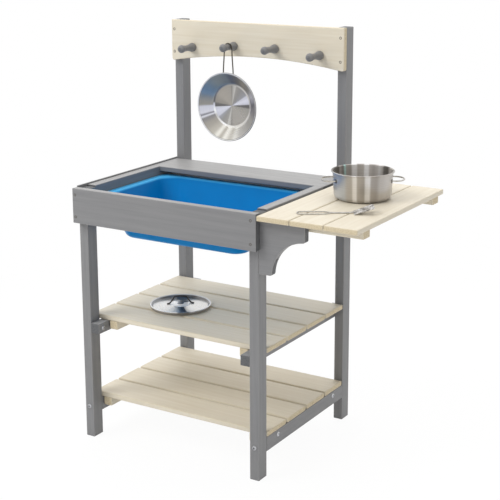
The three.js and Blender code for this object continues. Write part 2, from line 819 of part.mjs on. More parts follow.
// The slotted turner on the table: a hairpin of wire welded on a tilted blade
function addTurner() {
  const { handleLength, neckLength, loopHalfWidth, wireRadius, wireSpacing, weldLength } = turner;
  const { bladeLength, heelWidth, bladeWidth, bladeThickness, bladeCorner } = turner;
  const tilt = THREE.MathUtils.degToRad(turner.bladeTilt);
  const group = new THREE.Group();
  group.position.set(tableLeft + turner.inset, turner.y, tableTop + seat);
  group.rotation.z = THREE.MathUtils.degToRad(turner.turn);
  kitchen.add(group);
  const heel = handleLength + neckLength;
  const shape = new THREE.Shape();
  shape.moveTo(0, -heelWidth / 2);
  shape.lineTo(bladeLength - bladeCorner, -bladeWidth / 2);
  shape.quadraticCurveTo(bladeLength, -bladeWidth / 2, bladeLength, bladeCorner - bladeWidth / 2);
  shape.lineTo(bladeLength, bladeWidth / 2 - bladeCorner);
  shape.quadraticCurveTo(bladeLength, bladeWidth / 2, bladeLength - bladeCorner, bladeWidth / 2);
  shape.lineTo(0, heelWidth / 2);
  for (let i = 0; i < turner.slots; i++) {
    const y = (i - (turner.slots - 1) / 2) * turner.slotPitch;
    const [x0, x1] = [turner.slotStart, turner.slotStart + turner.slotLength];
    const slot = new THREE.Path();
    slot.absarc(x1 - turner.slotWidth / 2, y, turner.slotWidth / 2, -Math.PI / 2, Math.PI / 2);
    slot.absarc(x0 + turner.slotWidth / 2, y, turner.slotWidth / 2, Math.PI / 2, (3 * Math.PI) / 2);
    shape.holes.push(slot);
  }
  const blade = new THREE.ExtrudeGeometry(shape, {
    depth: bladeThickness,
    bevelEnabled: false,
    curveSegments: 3,
  });
  blade.rotateY(-tilt);
  const mesh = addMesh(group, "turner_blade", blade, brushedSteel);
  mesh.position.x = heel;
  // wire heights over the table and over the tilted blade
  const lying = wireRadius;
  const over = bladeThickness + seat + wireRadius;
  const onBlade = (along) => [
    heel + along * Math.cos(tilt) - over * Math.sin(tilt),
    along * Math.sin(tilt) + over * Math.cos(tilt),
  ];
  const half = wireSpacing / 2;
  const [cornerAlongShare, cornerAcrossShare] = turner.cornerShares;
  const side = [
    [...onBlade(weldLength), half],
    [...onBlade(weldLength / 2), half],
    [...onBlade(0), half],
    [heel - neckLength / 2, lying + seat, half],
    [handleLength, lying, half],
    ...turner.loopShares.map(([alongShare, outShare]) => [
      handleLength * alongShare, lying, half + (loopHalfWidth - half) * outShare,
    ]),
    [loopHalfWidth * cornerAlongShare, lying, loopHalfWidth * cornerAcrossShare],
  ];
  const points = [...side, [wireRadius, lying, 0], ...side.map(([x, z, y]) => [x, z, -y]).reverse()];
  addMesh(
    group, "turner_handle",
    wire(points.map(([x, z, y]) => [x, y, z]), wireRadius, turner.wireSteps), brushedSteel,
  );
}

addLegs();
addSinkBox();
addTub();
addTable();
addPegRail();
addShelf("lower_shelf", lowerShelf, legOuter, legInner, [legBack, postFront]);
addShelf(
  "middle_shelf", middleShelf, legInner, legInner + middleShelf.railWidth, [legFront, frame.depth],
);
bolts.forEach(({ name, at, direction, length }) => addBolt(name, at, direction, length));
addPot();
addLid();
addPan();
addTurner();

export default kitchen;
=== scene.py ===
import math

import bmesh
import bpy
from mathutils import Matrix, Vector


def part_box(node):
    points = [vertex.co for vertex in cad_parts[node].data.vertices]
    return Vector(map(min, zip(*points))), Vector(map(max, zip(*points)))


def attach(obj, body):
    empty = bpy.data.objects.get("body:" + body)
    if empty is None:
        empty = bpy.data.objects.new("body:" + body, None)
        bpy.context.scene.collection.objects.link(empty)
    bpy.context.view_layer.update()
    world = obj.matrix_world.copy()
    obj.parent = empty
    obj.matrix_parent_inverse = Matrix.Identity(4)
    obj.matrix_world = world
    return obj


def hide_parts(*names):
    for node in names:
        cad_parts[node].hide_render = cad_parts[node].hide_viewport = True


# Mud kitchen: glazed pine stand with a blue tub, a cream side table and shelves, and steel cookware.
# Metres, +Z up, the front towards -Y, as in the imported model.

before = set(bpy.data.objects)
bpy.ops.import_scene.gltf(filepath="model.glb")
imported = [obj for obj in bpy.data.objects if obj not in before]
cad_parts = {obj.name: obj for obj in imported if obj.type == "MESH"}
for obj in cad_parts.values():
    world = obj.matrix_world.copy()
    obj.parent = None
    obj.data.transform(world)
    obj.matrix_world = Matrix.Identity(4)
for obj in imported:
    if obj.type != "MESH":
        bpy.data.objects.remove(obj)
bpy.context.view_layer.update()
print("frame loaded:", len(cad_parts), "nodes")


def linear(code):
    # sRGB hex to the linear colour that the shaders take
    parts = [int(code[i : i + 2], 16) / 255 for i in (1, 3, 5)]
    return [c / 12.92 if c <= 0.04045 else ((c + 0.055) / 1.055) ** 2.4 for c in parts] + [1.0]


def setInputs(tree, node, inputs):
    # a link where the value is another node's output, otherwise a number or a colour
    for key, value in inputs.items():
        if isinstance(value, bpy.types.NodeSocket):
            tree.links.new(value, node.inputs[key])
        else:
            node.inputs[key].default_value = value


def addNode(tree, kind, inputs=None, **settings):
    # one shader node, with its settings and its inputs
    node = tree.nodes.new("ShaderNode" + kind)
    for key, value in settings.items():
        setattr(node, key, value)
    setInputs(tree, node, inputs or {})
    return node


def startMaterial(name):
    material = bpy.data.materials.new(name)
    material.use_nodes = True
    tree = material.node_tree
    tree.nodes.clear()
    shader = addNode(tree, "BsdfPrincipled")
    addNode(tree, "OutputMaterial", {"Surface": shader.outputs[0]})
    return material, tree, shader


def finishPiece(name, bm, body, material, replaced=(), sharpAngle=35):
    # smooth faces with the sharp edges kept, on its body, with its place in the mesh
    limit = math.radians(sharpAngle)
    for face in bm.faces:
        face.smooth = True
    for edge in bm.edges:
        edge.smooth = len(edge.link_faces) < 2 or edge.calc_face_angle(0) < limit
    mesh = bpy.data.meshes.new(name)
    bm.to_mesh(mesh)
    bm.free()
    mesh.materials.append(material)
    piece = bpy.data.objects.new(name, mesh)
    bpy.context.scene.collection.objects.link(piece)
    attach(piece, body)
    if replaced:
        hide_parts(*replaced)
    return piece


def spinRound(bm, geom, steps):
    # a full turn about Z
    bmesh.ops.spin(
        bm, geom=geom, cent=(0, 0, 0), axis=(0, 0, 1), dvec=(0, 0, 0),
        angle=2 * math.pi, steps=steps, use_merge=True,
    )


def spinProfile(bm, profile, steps):
    # turns (radius, height) pairs into a skin
    verts = [bm.verts.new((radius, 0, height)) for radius, height in profile]
    edges = [bm.edges.new(pair) for pair in zip(verts, verts[1:])]
    spinRound(bm, verts + edges, steps)
    bmesh.ops.remove_doubles(bm, verts=bm.verts, dist=1e-6)
    bmesh.ops.recalc_face_normals(bm, faces=bm.faces)


def addTurned(bm, profile, steps, place):
    # spins a profile in a mesh of its own and sets it at a place in bm
    one = bmesh.new()
    spinProfile(one, profile, steps)
    one.transform(place)
    mesh = bpy.data.meshes.new("turned")
    one.to_mesh(mesh)
    one.free()
    bm.from_mesh(mesh)
    bpy.data.meshes.remove(mesh)


def ringEdges(bm, radius, height):
    # the edges of the ring at that radius and height
    def near(vert):
        return abs(math.hypot(vert.co.x, vert.co.y) - radius) < 1e-5 and abs(vert.co.z - height) < 1e-5

    return [edge for edge in bm.edges if all(near(vert) for vert in edge.verts)]


def roundRing(bm, radius, height, width, segments):
    bmesh.ops.bevel(
        bm, geom=ringEdges(bm, radius, height), offset=width, segments=segments,
        affect="EDGES", profile=0.5, material=-1,
    )


def addBead(bm, radius, height, thickness, steps):
    # the rolled edge of a steel sheet: a thin ring
    made = bmesh.ops.create_circle(
        bm, segments=12, radius=thickness,
        matrix=Matrix.Translation((radius, 0, height)) @ Matrix.Rotation(math.pi / 2, 4, "X"),
    )
    verts = made["verts"]
    edges = list({edge for vert in verts for edge in vert.link_edges})
    old = set(bm.faces)
    spinRound(bm, verts + edges, steps)
    bmesh.ops.recalc_face_normals(bm, faces=[face for face in bm.faces if face not in old])


def sheetSkin(bm, thickness):
    # gives an open skin its thickness on the inner side
    bmesh.ops.solidify(bm, geom=bm.faces, thickness=thickness)


def turnUp(bm, face):
    # an open skin has no inside: this face of it should look up, and the rest goes with it
    if face.normal.z < 0:
        bmesh.ops.reverse_faces(bm, faces=bm.faces)


def roundedPlate(bm, place, sizeX, sizeY, corner, steps):
    # a flat rectangle with rounded corners, round the middle of place
    old = set(bm.faces)
    made = bmesh.ops.create_grid(
        bm, x_segments=1, y_segments=1, size=0.5, matrix=place @ Matrix.Diagonal((sizeX, sizeY, 1, 1)),
    )
    bmesh.ops.bevel(
        bm, geom=made["verts"], offset=corner, segments=steps, affect="VERTICES", profile=0.5, material=-1,
    )
    return [face for face in bm.faces if face not in old][0]


# The camera, where the photograph was taken from: angles in degrees, lens and sensor in millimetres
camera = {
    "place": (1.4489, -2.39835, 1.2505),
    "azimuth": 31.556,
    "elevation": 12.751,
    "roll": -0.208,
    "lens": 88.92,
    "sensor": 36,
    "shiftY": -0.12,
    "seesTo": 60,
}


def addCamera():
    data = bpy.data.cameras.new("photo_camera")
    data.sensor_width = camera["sensor"]
    data.lens = camera["lens"]
    data.shift_y = camera["shiftY"]
    data.clip_end = camera["seesTo"]
    eye = bpy.data.objects.new("photo_camera", data)
    turn = (
        Matrix.Rotation(math.radians(camera["azimuth"]), 4, "Z")
        @ Matrix.Rotation(math.radians(90 - camera["elevation"]), 4, "X")
        @ Matrix.Rotation(math.radians(camera["roll"]), 4, "Z")
    )
    eye.matrix_world = Matrix.Translation(camera["place"]) @ turn
    bpy.context.scene.collection.objects.link(eye)
    bpy.context.scene.camera = eye


addCamera()
print("camera set")


# Pine boards, planed, with a thin satin glaze: faint streaks along the grain show through it, and eased edges
# hold less of it.
# Level tops get a paler grey, which is painted sheen and light from above. The end grain drinks the glaze and
# looks rougher and darker; on the grey glaze its tone is deepened further as painted shade, for the corbels'
# ends under the table.
greyGlaze = {
    # end and pore: end grain, darkened further as painted shade for the corbels' ends under the table
    "face": "#7e7e7f", "streak": "#6d6d70", "edge": "#939291", "end": "#5f6062", "pore": "#4a4b4d",
    # top: a paler grey for level tops, painted sheen and light from above
    "top": "#979695", "roughness": 0.42, "streakShare": 0.5,
}
# the same glaze on the turned pegs, where much of the skin is end grain and drinks it
pegGlaze = {
    "face": "#757577", "streak": "#68686b", "edge": "#7c7b7a", "end": "#6d6e70", "pore": "#5b5c5e",
    "roughness": 0.45, "streakShare": 0.4,
}
creamGlaze = {
    "face": "#d4ccbb", "streak": "#c4b8a0", "edge": "#cfc4ab", "end": "#cfc2a6", "pore": "#ad9c7b",
    "roughness": 0.48, "streakShare": 0.45,
}
grainSize = {
    "streak": 0.006,  # early and late wood, drawn about twice as wide as it is so that it shows
    "fibre": 0.0016,
    "ring": 0.009,  # growth rings where they meet the face
    "tone": 0.16,  # slow changes of tone along a board
    "stretch": 0.035,  # width of the grain as a share of its length
    "wave": 0.314,  # from band to band of a wave texture at scale 1
}
grainShare = {"streak": 0.7, "ring": 0.08, "tone": 0.2, "fibre": 0.5}  # what each adds to the pattern


def glazedPine(name, axis, look):
    material, tree, shader = startMaterial(name)
    place = addNode(tree, "TexCoord").outputs
    along = [1.0, 1.0, 1.0]
    along["XYZ".index(axis)] = grainSize["stretch"]
    grain = addNode(tree, "Mapping", {"Vector": place["Object"], "Scale": along}).outputs[0]
    streaks = addNode(tree, "TexNoise", {
        "Vector": grain, "Scale": 1 / grainSize["streak"],
        "Detail": 3.0, "Roughness": 0.55, "Distortion": 0.4,
    }).outputs[0]
    fibres = addNode(tree, "TexNoise", {
        "Vector": grain, "Scale": 1 / grainSize["fibre"], "Detail": 2.0, "Roughness": 0.6,
    }).outputs[0]
    tone = addNode(tree, "TexNoise", {
        "Vector": place["Object"], "Scale": 1 / grainSize["tone"], "Detail": 1.0,
    }).outputs[0]
    rings = addNode(tree, "TexWave", {
        "Vector": grain, "Scale": grainSize["wave"] / grainSize["ring"],
        "Distortion": 7.0, "Detail": 2.0, "Detail Scale": 0.7,
    }, wave_type="BANDS", bands_direction="DIAGONAL").outputs[1]
    mixed = addNode(tree, "Math", {0: streaks, 1: grainShare["streak"]}, operation="MULTIPLY").outputs[0]
    ringed = addNode(tree, "Math", {
        0: rings, 1: grainShare["ring"], 2: mixed,
    }, operation="MULTIPLY_ADD").outputs[0]
    toned = addNode(tree, "Math", {
        0: tone, 1: grainShare["tone"], 2: ringed,
    }, operation="MULTIPLY_ADD").outputs[0]
    amount = addNode(tree, "MapRange", {
        "Value": toned, "From Min": 0.36, "From Max": 0.64, "To Min": 0.0, "To Max": look["streakShare"],
    }).outputs[0]
    board = addNode(tree, "Mix", {
        0: amount, 6: linear(look["face"]), 7: linear(look["streak"]),
    }, data_type="RGBA").outputs[2]
    # painted sheen: level tops are made paler, standing for light from above and gloss
    if "top" in look:
        upward = addNode(tree, "SeparateXYZ", {0: place["Normal"]}).outputs[2]
        sheenOnTop = addNode(tree, "MapRange", {"Value": upward, "From Min": 0.9, "From Max": 0.99}).outputs[0]
        paintedTopSheen = addNode(tree, "Mix", {
            0: amount, 6: linear(look["top"]), 7: board,
        }, data_type="RGBA").outputs[2]
        board = addNode(tree, "Mix", {0: sheenOnTop, 6: board, 7: paintedTopSheen}, data_type="RGBA").outputs[2]
    facing = addNode(tree, "VectorMath", {0: place["Normal"]}, operation="ABSOLUTE").outputs[0]
    parts = addNode(tree, "SeparateXYZ", {0: facing}).outputs
    atEnd = addNode(tree, "MapRange", {
        "Value": parts["XYZ".index(axis)], "From Min": 0.8, "From Max": 0.95,
    }).outputs[0]
    widest = addNode(tree, "Math", {0: parts[0], 1: parts[1]}, operation="MAXIMUM").outputs[0]
    widest = addNode(tree, "Math", {0: widest, 1: parts[2]}, operation="MAXIMUM").outputs[0]
    onEdge = addNode(tree, "MapRange", {
        "Value": widest, "From Min": 0.97, "From Max": 0.88, "To Max": 0.7,
    }).outputs[0]
    edged = addNode(tree, "Mix", {0: onEdge, 6: board, 7: linear(look["edge"])}, data_type="RGBA").outputs[2]
    pores = addNode(tree, "MapRange", {"Value": fibres, "From Min": 0.45, "From Max": 0.65}).outputs[0]
    # end grain; on the grey glaze its darker tone is also painted shade
    endGrain = addNode(tree, "Mix", {
        0: pores, 6: linear(look["end"]), 7: linear(look["pore"]),
    }, data_type="RGBA").outputs[2]
    ended = addNode(tree, "Mix", {0: atEnd, 6: edged, 7: endGrain}, data_type="RGBA").outputs[2]
    height = addNode(tree, "Math", {
        0: fibres, 1: grainShare["fibre"], 2: mixed,
    }, operation="MULTIPLY_ADD").outputs[0]
    bump = addNode(tree, "Bump", {"Strength": 0.35, "Distance": 0.0004, "Height": height}).outputs[0]
    gloss = addNode(tree, "MapRange", {
        "Value": fibres, "From Min": 0.3, "From Max": 0.7,
        "To Min": look["roughness"] - 0.05, "To Max": look["roughness"] + 0.1,
    }).outputs[0]
    rough = addNode(tree, "Math", {0: atEnd, 1: 0.2, 2: gloss}, operation="MULTIPLY_ADD").outputs[0]
    setInputs(tree, shader, {"Base Color": ended, "Roughness": rough, "Normal": bump, "IOR": 1.5})
    return material


# Polypropylene, injection moulded and satin: even deep colour, a faint flow mottle in the gloss,
# and a paler band along the top of the rim, which is a painted highlight.
plastic = {
    "face": "#0470af",
    "mottle": "#057abb",
    # rim: painted highlight, a paler blue along the top of the rim
    "rim": "#45a4d8",
    "flow": 0.06,  # size of the mottle
    "skin": 0.0015,  # size of the fine unevenness
    # the band of the painted rim highlight
    "rimHighlightBand": (0.005, 0.0005),  # below the top, where the paler rim starts and is full
    "roughness": (0.25, 0.35),
    "specular": 0.1,
}


def mouldedPlastic(rimHeight):
    material, tree, shader = startMaterial("satin_polypropylene")
    place = addNode(tree, "TexCoord").outputs["Object"]
    flow = addNode(tree, "TexNoise", {
        "Vector": place, "Scale": 1 / plastic["flow"], "Detail": 2.0,
    }).outputs[0]
    skin = addNode(tree, "TexNoise", {
        "Vector": place, "Scale": 1 / plastic["skin"], "Detail": 1.0,
    }).outputs[0]
    colour = addNode(tree, "Mix", {
        0: flow, 6: linear(plastic["face"]), 7: linear(plastic["mottle"]),
    }, data_type="RGBA").outputs[2]
    height = addNode(tree, "SeparateXYZ", {0: place}).outputs[2]
    bandFrom, bandTo = plastic["rimHighlightBand"]
    # painted highlight: the top of the rim turns paler blue
    atRimHighlight = addNode(tree, "MapRange", {
        "Value": height, "From Min": rimHeight - bandFrom, "From Max": rimHeight - bandTo,
    }).outputs[0]
    colour = addNode(tree, "Mix", {
        0: atRimHighlight, 6: colour, 7: linear(plastic["rim"]),
    }, data_type="RGBA").outputs[2]
    smoothest, dullest = plastic["roughness"]
    rough = addNode(tree, "MapRange", {"Value": flow, "To Min": smoothest, "To Max": dullest}).outputs[0]
    bump = addNode(tree, "Bump", {"Strength": 0.05, "Distance": 0.0002, "Height": skin}).outputs[0]
    setInputs(tree, shader, {
        "Base Color": colour, "Roughness": rough, "Normal": bump,
        "IOR": 1.49, "Specular IOR Level": plastic["specular"],
    })
    return material


# Stainless sheet, spun and brushed round its axis: fine hairlines in rings, drawn about twice as
# wide as they are, and fans of lighter and darker colour that run out from the middle, which are painted
# reflections, highlights and shade.
spun = {
    "hairline": 0.0016,
    "wear": 0.05,
    "blend": 0.0004,  # over which one ring of fans turns into the next
    "turnBlend": 0.2,  # the same for the outer skin, in the cosine of the angle
    "tone": (0.93, 1.04),  # how much the hairlines darken and lighten the metal
    "dulling": 0.07,  # added to the roughness where it is worn
    "anisotropic": 0.6,
    "metal": 0.7,  # the brushing scatters a third of the light as if it were dull
    # the lid's boss, step and groove take this share too, so that their white painted reflections read
    # brighter
    "rimMetal": 0.35,  # and a rolled rim, scratched all round, more of it
}


def paintedReflectionFan(tree, share, fans):
    # a painted reflection colour for each angle round the axis, in degrees from -180 to 180
    ramp = addNode(tree, "ValToRGB", {0: share})
    ramp.color_ramp.interpolation = "EASE"
    stops = ramp.color_ramp.elements
    stops.remove(stops[-1])
    stops[0].position = 0.0
    stops[0].color = linear(fans[0][1])
    for degrees, code in (*fans[1:], (180, fans[0][1])):
        stops.new(degrees / 360 + 0.5).color = linear(code)
    return ramp.outputs[0]


def spunSteel(name, centre, axis, rings, outer, outerFrom=0.55, roughness=0.27):
    # rings are (inner radius, fans, metal share), from the middle out; outer is the fans of faces that
    # look away from the axis, where the cosine of the angle is more than outerFrom; all fans are painted
    # reflections, highlights and shade
    material, tree, shader = startMaterial(name)
    place = addNode(tree, "TexCoord").outputs
    arm = addNode(tree, "VectorMath", {0: place["Object"], 1: centre}, operation="SUBTRACT").outputs[0]
    lie = (-math.pi / 2, 0, 0) if axis == "Y" else (0, 0, 0)
    turned = addNode(tree, "Mapping", {"Vector": arm, "Rotation": lie}).outputs[0]
    parts = addNode(tree, "SeparateXYZ", {0: turned}).outputs
    angle = addNode(tree, "Math", {0: parts[1], 1: parts[0]}, operation="ARCTAN2").outputs[0]
    flat = addNode(tree, "CombineXYZ", {0: parts[0], 1: parts[1]}).outputs[0]
    radius = addNode(tree, "VectorMath", {0: flat}, operation="LENGTH").outputs[1]
    share = addNode(tree, "MapRange", {"Value": angle, "From Min": -math.pi, "From Max": math.pi}).outputs[0]
    colour = paintedReflectionFan(tree, share, rings[0][1])
    metal = rings[0][2]
    for inner, fans, ringMetal in rings[1:]:
        beyond = addNode(tree, "MapRange", {
            "Value": radius, "From Min": inner - spun["blend"], "From Max": inner + spun["blend"],
        }).outputs[0]
        colour = addNode(tree, "Mix", {
            0: beyond, 6: colour, 7: paintedReflectionFan(tree, share, fans),
        }, data_type="RGBA").outputs[2]
        metal = addNode(tree, "Mix", {0: beyond, 2: metal, 3: ringMetal}, data_type="FLOAT").outputs[0]
    outward = addNode(tree, "VectorMath", {0: flat}, operation="NORMALIZE").outputs[0]
    facing = addNode(tree, "Mapping", {"Vector": place["Normal"], "Rotation": lie}).outputs[0]
    away = addNode(tree, "VectorMath", {0: facing, 1: outward}, operation="DOT_PRODUCT").outputs[1]
    isOuter = addNode(tree, "MapRange", {
        "Value": away, "From Min": outerFrom, "From Max": outerFrom + spun["turnBlend"],
    }).outputs[0]
    # painted shade and reflection on the faces that look out from the axis
    colour = addNode(tree, "Mix", {
        0: isOuter, 6: colour, 7: paintedReflectionFan(tree, share, outer),
    }, data_type="RGBA").outputs[2]
    lines = addNode(tree, "CombineXYZ", {0: radius, 1: parts[2], 2: 0.0}).outputs[0]
    hair = addNode(tree, "TexNoise", {
        "Vector": lines, "Scale": 1 / spun["hairline"], "Detail": 2.0,
    }).outputs[0]
    wear = addNode(tree, "TexNoise", {
        "Vector": place["Object"], "Scale": 1 / spun["wear"], "Detail": 2.0,
    }).outputs[0]
    darkest, lightest = spun["tone"]
    tone = addNode(tree, "MapRange", {
        "Value": hair, "From Min": 0.3, "From Max": 0.7, "To Min": darkest, "To Max": lightest,
    }).outputs[0]
    colour = addNode(tree, "VectorMath", {0: colour, "Scale": tone}, operation="SCALE").outputs[0]
    rough = addNode(tree, "MapRange", {
        "Value": wear, "From Min": 0.3, "From Max": 0.7,
        "To Min": roughness, "To Max": roughness + spun["dulling"],
    }).outputs[0]
    bump = addNode(tree, "Bump", {"Strength": 0.04, "Distance": 0.0002, "Height": hair}).outputs[0]
    turnAxis = (0, 1, 0) if axis == "Y" else (0, 0, 1)
    around = addNode(tree, "VectorMath", {0: turnAxis, 1: arm}, operation="CROSS_PRODUCT").outputs[0]
    tangent = addNode(
        tree, "VectorTransform", {0: around}, vector_type="VECTOR", convert_from="OBJECT", convert_to="WORLD",
    ).outputs[0]
    setInputs(tree, shader, {
        "Base Color": colour, "Metallic": metal, "Roughness": rough, "Normal": bump,
        "Anisotropic": spun["anisotropic"], "Tangent": tangent,
    })
    return material


# Metals of one colour, with cloudy patches of a darker and duller one. Drawn stainless wire: smooth, in three
# copies, darker and lighter than the steel, which are painted shade and painted reflection. Pressed and
# rolled stainless sheet: a soft satin; on the blade, near white with strong dark clouds, as painted
# reflection. Zinc plate on steel: bright and a little cloudy;
# a darker copy on the screws is painted shade of their recesses. Black oxide on steel: dark and dull, and
# here also painted shade of the corbels' screw holes.
def plainMetal(name, light, dark, roughness, patch, metal=1.0):
    # patch is the size of the clouds
    material, tree, shader = startMaterial(name)
    place = addNode(tree, "TexCoord").outputs["Object"]
    cloud = addNode(tree, "TexNoise", {
        "Vector": place, "Scale": 1 / patch, "Detail": 4.0, "Roughness": 0.6,
    }).outputs[0]
    amount = addNode(tree, "MapRange", {"Value": cloud, "From Min": 0.35, "From Max": 0.65}).outputs[0]
    colour = addNode(tree, "Mix", {0: amount, 6: linear(dark), 7: linear(light)}, data_type="RGBA").outputs[2]
    rough = addNode(tree, "MapRange", {
        "Value": cloud, "From Min": 0.3, "From Max": 0.7, "To Min": roughness, "To Max": roughness + 0.12,
    }).outputs[0]
    bump = addNode(tree, "Bump", {"Strength": 0.05, "Distance": 0.0002, "Height": cloud}).outputs[0]
    setInputs(tree, shader, {"Base Color": colour, "Metallic": metal, "Roughness": rough, "Normal": bump})
    return material


greyPine = {axis: glazedPine("grey_glazed_pine_" + axis.lower(), axis, greyGlaze) for axis in "XYZ"}
creamPine = {axis: glazedPine("cream_glazed_pine_" + axis.lower(), axis, creamGlaze) for axis in "XY"}
pegPine = glazedPine("grey_glazed_turned_pine", "Y", pegGlaze)
bluePlastic = mouldedPlastic(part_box("tub")[1].z)
# three copies of one drawn wire at different brightness: painted shade and painted reflection
wirePaintedDarker = plainMetal("drawn_stainless_wire", "#5f5a53", "#423e39", 0.28, 0.006)
wirePaintedDarkest = plainMetal("drawn_stainless_wire_painted_darkest", "#4d4a48", "#343230", 0.3, 0.006)
wirePaintedLight = plainMetal("drawn_stainless_wire_painted_light", "#dad7d2", "#b3afa9", 0.28, 0.006)
plateSteel = plainMetal("pressed_stainless_sheet", "#8f8b86", "#6b6762", 0.3, 0.006)
zincPlate = plainMetal("zinc_plate", "#dcdde0", "#a9aaad", 0.3, 0.002)
# black steel that also stands as painted shade of the corbels' screw holes
screwBlackHoleShade = plainMetal("black_oxide_and_hole_shade", "#2c2a28", "#1b1a19", 0.45, 0.002, 0.3)
# a darker copy of the zinc, painted shade of the screws' recesses
screwZincPaintedShade = plainMetal("zinc_plate_painted_shade", "#77726a", "#5a5650", 0.35, 0.002)
# near white with strong dark clouds: painted reflection on the blade
bladePaintedReflection = plainMetal("rolled_stainless_painted_reflection", "#fbfaf9", "#77726c", 0.3, 0.01, 0.6)
print("finishes made")


# Timbers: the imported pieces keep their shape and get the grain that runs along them.
grainOf = {
    "Z": ("front_leg", "rear_post"),
    # corbels run along X so that their sawn ends take the dark end grain, which stands as painted shade under
    # the table
    "X": ("corbel", "front_board", "rear_ledge", "rear_apron", "tub_ledger_front", "peg_rail_board", "_slat_",
          "table_batten"),
    "Y": ("side_board", "side_panel", "tub_ledger_left", "tub_ledger_right", "table_slat", "_rail_",
          "shelf_batten"),
}


def grainAxis(name):
    # the longest word that fits says which way the grain runs
    fits = [(len(word), axis) for axis, words in grainOf.items() for word in words if word in name]
    return max(fits)[1]


def finishTimbers():
    for name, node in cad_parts.items():
        slot = node.data.materials[0].name.split(".")[0]
        if slot in ("grey_glaze", "cream_glaze"):
            if name.startswith("peg_") and name != "peg_rail_board":
                continue
            pine = greyPine if slot == "grey_glaze" else creamPine
            node.data.materials[0] = pine[grainAxis(name)]
        elif slot == "zinc_plate":
            node.data.materials[0] = zincPlate
        # the blade's light and dark are painted reflection
        elif name == "turner_blade":
            node.data.materials[0] = bladePaintedReflection


finishTimbers()
print("timbers finished")


# Corbels and peg rail: merged copies, so that their curves shade smoothly
def smoothCopy(node, name, material):
    bm = bmesh.new()
    bm.from_mesh(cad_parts[node].data)
    bmesh.ops.remove_doubles(bm, verts=bm.verts, dist=1e-5)
    return finishPiece(name, bm, "stand", material, [node], sharpAngle=32)


for node in ("corbel_front", "corbel_rear"):
    smoothCopy(node, node + "_sawn", greyPine["X"])
smoothCopy("peg_rail_board", "peg_rail_sawn", creamPine["X"])
print("curved boards smoothed")


# Pegs: a swelling foot, a waist and a ball, as (radius, distance from the rail)
peg = {
    "profile": ((0.0104, 0), (0.011, 0.0012), (0.011, 0.0042), (0.0107, 0.0068), (0.0099, 0.0105),
                (0.0088, 0.0150), (0.0079, 0.0200), (0.0074, 0.0250), (0.0073, 0.0290), (0.0075, 0.0340),
                (0.0080, 0.0385), (0.0085, 0.0425)),
    "length": 0.06,
    "ball": 0.01,
    "ballFrom": 62,  # degrees from the ball's inner pole to where it leaves the waist
    "ballSteps": 9,
    "turns": 36,
}


def addPeg(number):
    low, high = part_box("peg_%d" % number)
    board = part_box("peg_rail_board")[0].y
    profile = list(peg["profile"])
    middle = peg["length"] - peg["ball"]
    for step in range(peg["ballSteps"]):
        angle = math.radians(peg["ballFrom"] + (180 - peg["ballFrom"]) * step / (peg["ballSteps"] - 1))
        profile.append((peg["ball"] * math.sin(angle), middle - peg["ball"] * math.cos(angle)))
    profile[-1] = (0, peg["length"])
    bm = bmesh.new()
    spinProfile(bm, profile, peg["turns"])
    lie = Matrix.Rotation(math.pi / 2, 4, "X")
    bmesh.ops.transform(
        bm, verts=bm.verts,
        matrix=Matrix.Translation(((low.x + high.x) / 2, board, (low.z + high.z) / 2)) @ lie,
    )
    finishPiece(
        "peg_%d_turned" % number, bm, "stand", pegPine, ["peg_%d" % number], sharpAngle=50,
    )


for number in (1, 2, 3, 4):
    addPeg(number)
print("pegs turned")


tub = {
    "flangeCorner": 0.030,
    "basinInset": 0.0195,  # from the edge of the flange to where the wall would meet it
    "basinCorner": 0.045,
    "floorInset": 0.0575,
    "floorCorner": 0.031,
    "wall": 0.003,
    "lipRound": 0.0055,
    "floorRound": 0.009,
    "roundSteps": 6,
    "cornerSteps": 12,
    "eased": 0.0008,  # the moulded edge of the flange
    "easedOver": 60,  # degrees between the faces beside it
}


def addTub():
    low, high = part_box("tub")
    bm = bmesh.new()
    faces = []
    for inset, corner, height in (
        (0, tub["flangeCorner"], high.z),
        (tub["basinInset"], tub["basinCorner"], high.z),
        (tub["floorInset"], tub["floorCorner"], low.z + tub["wall"]),
    ):
        step = Vector((inset, inset, 0))
        near, far = low + step, high - step
        place = Matrix.Translation(((near.x + far.x) / 2, (near.y + far.y) / 2, height))
        faces.append(roundedPlate(bm, place, far.x - near.x, far.y - near.y, corner, tub["cornerSteps"]))
    rings = [list(face.edges) for face in faces]
    bmesh.ops.delete(bm, geom=faces[:2], context="FACES_ONLY")
    for upper, lower in zip(rings, rings[1:]):
        bmesh.ops.bridge_loops(bm, edges=upper + lower)
    bmesh.ops.recalc_face_normals(bm, faces=bm.faces)
    turnUp(bm, min(bm.faces, key=lambda face: face.calc_center_median().z))
    for edges, width in ((rings[1], tub["lipRound"]), (rings[2], tub["floorRound"])):
        bmesh.ops.bevel(
            bm, geom=edges, offset=width, segments=tub["roundSteps"],
            affect="EDGES", profile=0.5, material=-1, clamp_overlap=False,
        )
    piece = finishPiece("tub_moulded", bm, "tub", bluePlastic, ["tub"], sharpAngle=60)
    wall = piece.modifiers.new("wall", "SOLIDIFY")
    wall.thickness = tub["wall"]
    wall.offset = -1
    edge = piece.modifiers.new("eased", "BEVEL")
    edge.width = tub["eased"]
    edge.segments = 2
    edge.limit_method = "ANGLE"
    edge.angle_limit = math.radians(tub["easedOver"])


addTub()
print("tub moulded")
